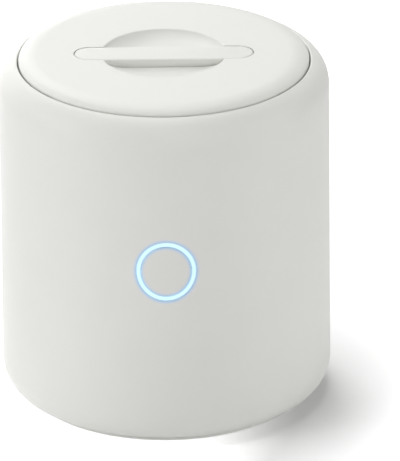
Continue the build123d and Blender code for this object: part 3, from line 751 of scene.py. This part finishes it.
class Finishes:
    """Every finish of the object, made once and looked up by the record's slot name."""

    def __init__(self) -> None:
        """Make the materials."""
        made = [
            # the shell's finish carries painted shade and a painted glow beside the ring
            ShellWithPaintedRingLight("white_shell", srgb(233, 233, 229), 0.5),
            GlowingGuide("ring_diffuser", srgb(60, 80, 90), 0.35, colour_spread=0.1),
            Finish("chamber_plastic", srgb(206, 208, 210), 0.42),
            Finish("reflector", srgb(228, 230, 233), 0.16, roughness_spread=0.05,
                   colour_spread=0.02, cloud=6 * MM, metallic=1.0),
            Finish("window_glass", srgb(246, 249, 255), 0.03, roughness_spread=0.02,
                   colour_spread=0.01, transmission=1.0),
            Finish("seal_rubber", srgb(222, 222, 220), 0.6, sheen=0.2),
            Finish("foot_rubber", srgb(128, 130, 132), 0.75, sheen=0.1),
            Finish("metal_core", srgb(235, 235, 232), 0.35, coat=0.2),
            Finish("emitter_ceramic", srgb(238, 232, 205), 0.3),
            Finish("sink_metal", srgb(172, 174, 178), 0.38, roughness_spread=0.12, metallic=1.0),
            Finish("screw_steel", srgb(176, 176, 178), 0.3, roughness_spread=0.15, metallic=1.0),
            Finish("cell_sleeve", srgb(58, 112, 170), 0.3, coat=0.3),
            Finish("holder_plastic", srgb(40, 40, 41), 0.5),
            Finish("contact_metal", srgb(214, 190, 128), 0.25, roughness_spread=0.1, metallic=1.0),
            CircuitBoard("board_laminate", srgb(22, 92, 56), 0.3, coat=0.4, colour_spread=0.2,
                         cloud=3 * MM),
            Finish("chip_black", srgb(34, 34, 36), 0.55),
            Finish("socket_steel", srgb(188, 189, 192), 0.24, roughness_spread=0.12, metallic=1.0),
            Finish("tongue_plastic", srgb(28, 28, 29), 0.45),
            Finish("switch_plastic", srgb(38, 38, 40), 0.5),
            Finish("plunger_plastic", srgb(150, 92, 46), 0.45),
            Finish("white_emitter", srgb(246, 246, 232), 0.3, coat=0.3),
            Finish("magnet_nickel", srgb(200, 198, 194), 0.14, metallic=1.0),
            Finish("rack_plastic", srgb(238, 240, 242), 0.3, roughness_spread=0.06, coat=0.1),
            Finish("flex_film", srgb(206, 138, 50), 0.3, coat=0.3, colour_spread=0.15),
            Finish("wire_red", srgb(190, 40, 34), 0.5, colour_spread=0.08),
        ]
        self.by_slot = {finish.name: finish.build() for finish in made}

    def of(self, slot: str) -> bpy.types.Material:
        """Material of one of the record's slots."""
        return self.by_slot[slot]

    def dress_frame(self, frame: dict) -> None:
        """Give every CAD node the finish of its slot.
        """
        for part in frame["record"]["subparts"]:
            mesh = frame["nodes"][part["node"]].data
            mesh.materials.clear()
            mesh.materials.append(self.of(part["material_slot"]))


# Camera, floor and lamps


def outward(azimuth: float, elevation: float) -> Vector:
    """Direction from the object to a camera or lamp.

    Args:
        azimuth: Degrees round from the front, where 90 is on the viewer's right.
        elevation: Degrees above level.

    Returns:
        The direction, one metre long.
    """
    around, above = math.radians(azimuth), math.radians(elevation)
    level = math.cos(above)
    return Vector((math.sin(around) * level, -math.cos(around) * level, math.sin(above)))


@dataclass
class PhotoCamera:
    """Camera at the photograph's place.

    Attributes:
        pixels_per_metre: Scale of the picture at the mark, a point on the object's axis.
        axis_column: Pixel column of the mark.
        mark_row: Pixel row of the mark.
        mark_height: Its height above the floor.
    """

    image_width: int = 400
    image_height: int = 461
    sensor: float = 36.0
    azimuth: float = -0.3
    elevation: float = 23.65
    roll: float = -0.5
    distance: float = 3.2
    pixels_per_metre: float = 3426.0
    axis_column: float = 165.5
    mark_row: float = 226.5
    mark_height: float = 0.0504

    def build(self) -> bpy.types.Object:
        """Aim the camera so that the mark on the object's axis falls on its pixel.

        Returns:
            The camera object.
        """
        swing, lean = math.radians(self.azimuth), math.radians(self.roll)
        level = Vector((math.cos(swing), math.sin(swing), 0))
        away = outward(self.azimuth, self.elevation)
        upright = level.cross(-away)
        right = level * math.cos(lean) + upright * math.sin(lean)
        up = upright * math.cos(lean) - level * math.sin(lean)
        across = (self.image_width / 2 - self.axis_column) / self.pixels_per_metre
        down = (self.image_height / 2 - self.mark_row) / self.pixels_per_metre
        target = Vector((0, 0, self.mark_height)) + right * across - up * down
        data = bpy.data.cameras.new("photo_camera")
        data.sensor_width = self.sensor
        focal_pixels = self.pixels_per_metre * self.distance
        data.lens = focal_pixels * self.sensor / max(self.image_width, self.image_height)
        data.clip_start = 0.1
        data.clip_end = 50
        camera = bpy.data.objects.new("photo_camera", data)
        camera.location = target + away * self.distance
        camera.rotation_mode = "QUATERNION"
        camera.rotation_quaternion = Matrix((right, up, away)).transposed().to_quaternion()
        bpy.context.scene.collection.objects.link(camera)
        bpy.context.scene.camera = camera
        return camera


@dataclass(frozen=True)
class Softbox:
    """Square area lamp aimed at the object."""

    name: str
    azimuth: float
    elevation: float
    power: float
    size: float = 0.5
    distance: float = 1.2
    aim_height: float = 0.05

    def build(self) -> bpy.types.Object:
        """Hang the lamp where outward() says.

        Returns:
            The lamp object.
        """
        away = outward(self.azimuth, self.elevation)
        data = bpy.data.lights.new(self.name, "AREA")
        data.shape = "SQUARE"
        data.size = self.size
        data.energy = self.power
        lamp = bpy.data.objects.new(self.name, data)
        lamp.location = Vector((0, 0, self.aim_height)) + away * self.distance
        lamp.rotation_mode = "QUATERNION"
        lamp.rotation_quaternion = (-away).to_track_quat("-Z", "Y")
        lamp.visible_camera = False
        bpy.context.scene.collection.objects.link(lamp)
        return lamp


@dataclass
class Studio:
    """Pale floor, white surround and soft lamps.

    Attributes:
        floor_glow: Glow that the floor shows everywhere.
        painted_side_light: Painted light over the shadow left of the axis, fading out over
            side_reach on the right.
        painted_far_light: Painted light over the shadow far from the object, added instead where it
            is more, rising from near_radius to far_radius.
    """

    floor_size: float = 12.0
    floor_albedo: float = 0.9
    floor_roughness: float = 0.9
    floor_glow: float = 0.085
    painted_side_light: float = 0.79
    side_reach: float = 40 * MM
    painted_far_light: float = 0.55
    near_radius: float = 43 * MM
    far_radius: float = 100 * MM
    lamps: list[Softbox] = field(default_factory=lambda: [
        Softbox("left_low", -75, 12, 5.5),
        Softbox("top_light", 0, 89, 3.9),
        Softbox("back_left", -165, 40, 3.6),
        Softbox("front_low", 15, 12, 3.4),
        Softbox("back_high", -165, 65, 3.0),
        Softbox("right_low", 75, 12, 2.8),
        Softbox("right_front", 45, 12, 0.5),
        Softbox("back_low", -165, 12, 2.15),
        Softbox("left_high", -60, 60, 1.2, size=0.25),
        Softbox("rear_left_low", -135, 12, 1.0),
    ])

    def build(self) -> None:
        """Set up the whole studio."""
        self.build_floor()
        self.build_world()
        for lamp in self.lamps:
            lamp.build()

    def painted_floor_light(self, n: Nodes) -> bpy.types.NodeSocket:
        """Glow of the floor, with light painted over its shadows left of the object and far from
        it, so that it is weak only close to the object and to its right.

        Args:
            n: Node tree of the floor's material.

        Returns:
            The socket of the glow.
        """
        x, y, _ = n.axes()
        # painted light over the floor's shadow left of the object
        side = n.math("MULTIPLY", n.eased(n.share(x, self.side_reach, 0.0)), self.painted_side_light)
        away = n.share(n.length(x, y), self.near_radius, self.far_radius)
        # painted light over the floor's shadow far from the object
        far = n.math("MULTIPLY", n.eased(away), self.painted_far_light)
        return n.math("ADD", n.math("MAXIMUM", side, far), self.floor_glow)

    def build_floor(self) -> None:
        """Lay the floor, near white to the eye where nothing shades it or painted light covers its
        shade, and clear from below.
        """
        deselect_all()
        bpy.ops.mesh.primitive_plane_add(size=self.floor_size)
        floor = bpy.context.active_object
        floor.name = "studio_floor"
        material = bpy.data.materials.new("floor_paper")
        material.use_nodes = True
        n = Nodes(material.node_tree)
        material.node_tree.nodes.clear()
        surface = add_surface(n, {"Colour": (self.floor_albedo,) * 3 + (1,),
                                  "Roughness": self.floor_roughness})
        paper = n.add("BsdfPrincipled")
        paper.inputs["Specular IOR Level"].default_value = 0
        n.link(surface.outputs["Colour"], paper.inputs["Base Color"])
        n.link(surface.outputs["Roughness"], paper.inputs["Roughness"])
        paper.inputs["Emission Color"].default_value = (*WHITE, 1)
        # the floor's glow, with its painted light, shows only to the eye
        n.link(n.math("MULTIPLY", n.seen(), self.painted_floor_light(n)), paper.inputs["Emission Strength"])
        clear = n.add("BsdfTransparent")
        pick_side = n.add("MixShader")
        n.link(n.add("NewGeometry").outputs["Backfacing"], pick_side.inputs[0])
        n.link(paper.outputs[0], pick_side.inputs[1])
        n.link(clear.outputs[0], pick_side.inputs[2])
        out = n.add("OutputMaterial")
        n.link(pick_side.outputs[0], out.inputs["Surface"])
        floor.data.materials.append(material)

    def build_world(self) -> None:
        """Surround the object with white for the eye and for reflections alone."""
        world = bpy.data.worlds.new("studio_world")
        world.use_nodes = True
        bpy.context.scene.world = world
        n = Nodes(world.node_tree)
        background = world.node_tree.nodes["Background"]
        n.link(n.seen(), background.inputs["Strength"])
        background.inputs["Color"].default_value = (*WHITE, 1)


# Sub-assemblies


@dataclass(frozen=True)
class Case:
    """Sizes of the outer case that other pieces follow.

    Attributes:
        radius: Outer radius of the case.
        band: The lit band, whose oval the button shares.
        button_core: Radius within which the oval's stretch stays the same.
        wrap_depth: Depth down to which a face follows the case's curve.
    """

    radius: float = 48.0 * MM
    band: LitBand = LitBand()
    button_core: float = 6.0 * MM
    wrap_depth: float = 1.0 * MM

    def set_into_front(self, piece: bpy.types.Object) -> None:
        """Turn a piece made on the Z axis to the front and wrap its face round the case.

        Args:
            piece: Piece whose height 0 is to lie on the case's surface.
        """
        for vertex in piece.data.vertices:
            reach = max(vertex.co.xy.length, self.button_core)
            vertex.co.y *= 1 + self.band.rise / reach
        piece.rotation_euler = (math.radians(90), 0, 0)
        piece.location = (0, -self.radius, self.band.height)
        settle(piece)
        for vertex in piece.data.vertices:
            if vertex.co.y < -self.radius + self.wrap_depth:
                vertex.co.y += self.radius - math.sqrt(self.radius ** 2 - vertex.co.x ** 2)


@dataclass
class LightRing:
    """Lit guide round the button, with a crowned face and a flange behind the wall."""

    case: Case
    crown: float = 0.18 * MM
    face_depth: float = 1.2 * MM
    flange: float = 10.5 * MM
    flange_front: float = 4.0 * MM
    flange_back: float = 4.8 * MM

    def build(self, finishes: Finishes) -> bpy.types.Object:
        """Model the ring.

        Args:
            finishes: Every finish of the object.

        Returns:
            The ring object.
        """
        band = self.case.band
        face = arc((band.middle, -self.crown), (band.half_width, self.crown), 180, 0, steps=10)
        profile = [(band.inner, -self.flange_back), (band.inner, -self.face_depth), *face,
                   (band.outer, -self.face_depth), (band.outer, -self.flange_front),
                   (self.flange, -self.flange_front), (self.flange, -self.flange_back)]
        piece = turn("light_ring_guide", profile, closed=True)
        self.case.set_into_front(piece)
        return place(piece, Body.CASE, "ring_diffuser", finishes, "light_ring")


@dataclass
class PushButton:
    """Button cap with a face that follows the case, a skirt, a stem and stop tabs."""

    case: Case
    radius: float = 7.3 * MM
    edge: float = 0.3 * MM
    face_rings: int = 8
    face_depth: float = 1.5 * MM
    face_thickness: float = 3.2 * MM
    skirt: float = 1.2 * MM
    stem: float = 2.2 * MM
    back: float = 5.6 * MM
    tab_front: float = 5.0 * MM
    tab_reach: float = 1.1 * MM
    tab_width: float = 3.2 * MM
    tab_edge: float = 0.15 * MM
    tab_angles: tuple[float, ...] = (270, 30, 150)

    def build(self, finishes: Finishes) -> bpy.types.Object:
        """Model the button cap.

        Args:
            finishes: Every finish of the object.

        Returns:
            The button object.
        """
        flat = self.radius - self.edge
        face = [(flat * i / self.face_rings, 0.0) for i in range(self.face_rings)]
        edge = arc((flat, -self.edge), (self.edge, self.edge), 90, 0, steps=5)
        inner = self.radius - self.skirt
        profile = [*face, *edge, (self.radius, -self.face_depth), (self.radius, -self.back),
                   (inner, -self.back), (inner, -self.face_thickness),
                   (self.stem, -self.face_thickness), (self.stem, -self.back), (0, -self.back)]
        piece = turn("push_button", profile)
        join(piece, [self.build_tab(angle) for angle in self.tab_angles])
        self.case.set_into_front(piece)
        return place(piece, Body.BUTTON, "white_shell", finishes, "button_cap")

    def build_tab(self, angle: float) -> bpy.types.Object:
        """Model one stop tab.

        Args:
            angle: Its place round the skirt in degrees.

        Returns:
            The tab object.
        """
        thickness = self.back - self.tab_front
        reach = self.tab_reach + self.skirt / 2
        size = Vector((reach, self.tab_width, thickness))
        middle = self.radius - self.skirt / 2 + reach / 2
        tab = block("tab", size, Vector((middle, 0, -self.back + thickness / 2)), self.tab_edge)
        tab.rotation_euler = (0, 0, math.radians(angle))
        return settle(tab)


@dataclass
class GripBar:
    """Bar across the finger dish, with half-round ends, soft edges and two pegs."""

    thickness: float = 3.0 * MM
    edge: float = 0.5 * MM
    peg_radius: float = 1.4 * MM
    peg_chamfer: float = 0.2 * MM
    peg_place: float = 22.0 * MM

    def build(self, finishes: Finishes) -> bpy.types.Object:
        """Model the bar.

        Args:
            finishes: Every finish of the object.

        Returns:
            The bar object.
        """
        low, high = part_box("grip_bar")
        end, bottom = high.y, high.z - self.thickness
        under = self.edge / 3
        shoulder = arc((end - self.edge, high.z - self.edge), (self.edge, self.edge), 90, 0,
                       steps=6)
        profile = [(0, high.z), *shoulder, (end, bottom + under), (end - under, bottom),
                   (0, bottom)]
        piece = stretched_bar("grip_bar_moulding", profile, high.x - low.x)
        shank = [(0, low.z), (self.peg_radius - self.peg_chamfer, low.z),
                 (self.peg_radius, low.z + self.peg_chamfer), (self.peg_radius, bottom),
                 (0, bottom)]
        pegs = []
        for side in (-1, 1):
            peg = turn("peg", shank, steps=48)
            peg.location.x = side * self.peg_place
            pegs.append(settle(peg))
        join(piece, pegs)
        return place(piece, Body.LID, "white_shell", finishes, "grip_bar")


@dataclass
class LidGasket:
    """Soft ring under the lid with a rounded sealing bead along the middle of its underside."""

    bead_width: float = 1.9 * MM
    lip: float = 0.5 * MM
    top_chamfer: float = 0.2 * MM
    under_chamfer: Point = (0.15 * MM, 0.1 * MM)

    def build(self, finishes: Finishes) -> bpy.types.Object:
        """Model the gasket.

        Args:
            finishes: Every finish of the object.

        Returns:
            The gasket object.
        """
        low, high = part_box("lid_gasket")
        inner = min(vertex.co.xy.length for vertex in node_mesh("lid_gasket").vertices)
        outer = high.x
        seat = low.z + self.lip
        bead = arc(((inner + outer) / 2, seat), (self.bead_width / 2, self.lip), 0, -180, steps=12)
        across, up = self.under_chamfer
        profile = [(outer - self.top_chamfer, high.z), (outer, high.z - self.top_chamfer),
                   (outer, seat + up), (outer - across, seat), *bead, (inner + across, seat),
                   (inner, seat + up), (inner, high.z)]
        piece = turn("sealing_gasket", profile, closed=True)
        return place(piece, Body.LID, "seal_rubber", finishes, "lid_gasket")


@dataclass
class FootPad:
    """Non-slip pad with rings of shallow grooves."""

    edge: float = 0.25 * MM
    groove_depth: float = 0.3 * MM
    groove_width: float = 1.2 * MM
    groove_pitch: float = 4.0 * MM
    groove_count: int = 7

    def build(self, finishes: Finishes) -> bpy.types.Object:
        """Model the pad.

        Args:
            finishes: Every finish of the object.

        Returns:
            The pad object.
        """
        low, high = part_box("foot_pad")
        rim = high.x
        profile = [(0, high.z), (rim, high.z), (rim, low.z + self.edge), (rim - self.edge, low.z)]
        for index in range(self.groove_count):
            centre = rim - self.groove_pitch * (index + 1)
            profile += arc((centre, low.z), (self.groove_width / 2, self.groove_depth), 0, 180,
                           steps=6)
        profile.append((0, low.z))
        piece = turn("grooved_foot_pad", profile)
        return place(piece, Body.CASE, "foot_rubber", finishes, "foot_pad")


@dataclass
class BaseCover:
    """Closing plate whose lip shows under the case, with a shadow groove between the two."""

    lip_radius: float = 40.5 * MM
    lip_depth: float = 0.3 * MM
    lip_top: float = 1.0 * MM
    groove_reach: float = 1.7 * MM
    groove_ceiling: float = 1.65 * MM

    def build(self, finishes: Finishes) -> bpy.types.Object:
        """Model the cover from its CAD solid by widening its lip and cutting the groove.

        Args:
            finishes: Every finish of the object.

        Returns:
            The cover object.
        """
        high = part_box("base_cover")[1]
        piece = copy_of_node("base_cover", "grooved_base_cover")
        for vertex in piece.data.vertices:
            vertex.select = vertex.co.xy.length > high.x - self.lip_depth
        bpy.ops.object.mode_set(mode="EDIT")
        share = self.lip_radius / high.x
        bpy.ops.transform.resize(value=(share, share, 1), center_override=(0, 0, 0))
        bpy.ops.object.mode_set(mode="OBJECT")
        inner, outer = self.lip_radius - self.groove_reach, self.lip_radius + CUT_MARGIN
        groove = turn("groove", [(inner, self.lip_top), (outer, self.lip_top),
                                 (outer, self.groove_ceiling), (inner, self.groove_ceiling)],
                      closed=True)
        cut_away(piece, groove)
        return place(piece, Body.CASE, "white_shell", finishes, "base_cover")


@dataclass
class ItemRack:
    """Lift-out rack with radial slots, a centre eye, a rolled rim and four feet."""

    thickness: float = 1.6 * MM
    rim_width: float = 1.6 * MM
    rim_height: float = 2.4 * MM
    rim_cove: float = 0.6 * MM
    eye: float = 5.0 * MM
    slots: int = 10
    slot_width: float = 5.0 * MM
    slot_inner: float = 10.0 * MM
    slot_outer: float = 26.0 * MM
    slot_margin: float = 0.5 * MM
    leg_radius: float = 2.0 * MM
    leg_round: float = 0.5 * MM
    leg_circle: float = 29.0 * MM
    legs: int = 4
    edge: float = 0.3 * MM

    def build(self, finishes: Finishes) -> bpy.types.Object:
        """Model the rack.

        Args:
            finishes: Every finish of the object.

        Returns:
            The rack object.
        """
        low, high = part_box("item_rack")
        radius, top = high.x, high.z
        level = top - self.thickness - self.rim_height
        deck = level + self.thickness
        roll, cove = self.rim_width / 2, self.rim_cove
        rim_inner = radius - self.rim_width
        rim = arc((radius - roll, top - roll), (roll, roll), 0, 180, steps=10)
        profile = [(0, level), (radius - self.edge, level), (radius, level + self.edge), *rim,
                   (rim_inner, deck + cove),
                   *arc((rim_inner - cove, deck + cove), (cove, cove), 0, -90, steps=4), (0, deck)]
        piece = turn("slotted_rack", profile)
        cut_away(piece, self.build_cutters(level - CUT_MARGIN, deck + CUT_MARGIN))
        bevel_rims(piece, self.edge, lambda a, b: self.is_slot_edge(a, b, level, deck))
        join(piece, [self.build_leg(i, low.z, level) for i in range(self.legs)])
        return place(piece, Body.RACK, "rack_plastic", finishes, "item_rack")

    def is_slot_edge(self, a: Vector, b: Vector, level: float, deck: float) -> bool:
        """Whether an edge runs round a slot or the eye, on the deck's top or underside."""
        on_face = abs(a.z - b.z) < WELD and min(abs(a.z - level), abs(a.z - deck)) < WELD
        return on_face and max(a.xy.length, b.xy.length) < self.slot_outer + self.slot_margin

    def build_cutters(self, low: float, high: float) -> bpy.types.Object:
        """Model the slots and the eye as one cutter.

        Args:
            low: Lowest level of the cutter.
            high: Its highest level.

        Returns:
            The cutter object.
        """
        eye = turn("eye", [(0, low), (self.eye, low), (self.eye, high), (0, high)], steps=64)
        profile = [(0, low), (self.slot_width / 2, low), (self.slot_width / 2, high), (0, high)]
        middle = (self.slot_outer + self.slot_inner) / 2
        slots = []
        for index in range(self.slots):
            slot = stretched_bar("slot", profile, self.slot_outer - self.slot_inner, steps=32)
            angle = math.tau * (index + 0.5) / self.slots
            slot.rotation_euler = (0, 0, angle)
            slot.location = (middle * math.cos(angle), middle * math.sin(angle), 0)
            slots.append(settle(slot))
        return join(eye, slots)

    def build_leg(self, index: int, low: float, high: float) -> bpy.types.Object:
        """Model one foot with a rounded end.

        Args:
            index: Its number round the rack.
            low: Level of its end.
            high: Underside of the deck.

        Returns:
            The foot object.
        """
        corner = self.leg_round
        end = arc((self.leg_radius - corner, low + corner), (corner, corner), -90, 0, steps=5)
        leg = turn("leg", [(0, low), *end, (self.leg_radius, high), (0, high)], steps=32)
        angle = math.tau * index / self.legs
        leg.location = (self.leg_circle * math.cos(angle), self.leg_circle * math.sin(angle), 0)
        return settle(leg)


@dataclass
class SocketContacts:
    """Rows of plated contacts on both faces of the socket's tongue."""

    count: int = 12
    pitch: float = 0.5 * MM
    width: float = 0.26 * MM
    thickness: float = 0.05 * MM
    margin: float = 0.5 * MM
    length_share: float = 0.7
    edge_share: float = 0.4

    def build(self, finishes: Finishes) -> bpy.types.Object:
        """Model the contacts.

        Args:
            finishes: Every finish of the object.

        Returns:
            One object with all the contacts.
        """
        low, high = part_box("charging_socket_tongue")
        length = (high.y - low.y) * self.length_share
        y = high.y - self.margin - length / 2
        size = Vector((self.width, length, self.thickness))
        strips = []
        for z in (low.z - self.thickness / 2, high.z + self.thickness / 2):
            for index in range(self.count):
                centre = Vector(((index - (self.count - 1) / 2) * self.pitch, y, z))
                strips.append(block("contact", size, centre, self.thickness * self.edge_share))
        piece = strips[0]
        rename(piece, "socket_contacts")
        join(piece, strips[1:])
        return place(piece, Body.CASE, "contact_metal", finishes)


def clear_startup() -> None:
    """Remove what Blender starts with."""
    for leftover in list(bpy.data.objects):
        bpy.data.objects.remove(leftover)


def main() -> None:
    """Build the studio, the camera and every piece in order."""
    logging.basicConfig(level=logging.INFO, format="%(name)s %(message)s")
    clear_startup()
    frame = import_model()
    PhotoCamera().build()
    Studio().build()
    bpy.context.scene.view_settings.view_transform = "Standard"
    finishes = Finishes()
    finishes.dress_frame(frame)
    case = Case()
    for sub_assembly in (LightRing(case), PushButton(case), GripBar(), LidGasket(), FootPad(),
                         BaseCover(), ItemRack(), SocketContacts()):
        sub_assembly.build(finishes)


if __name__ == "__main__":
    main()
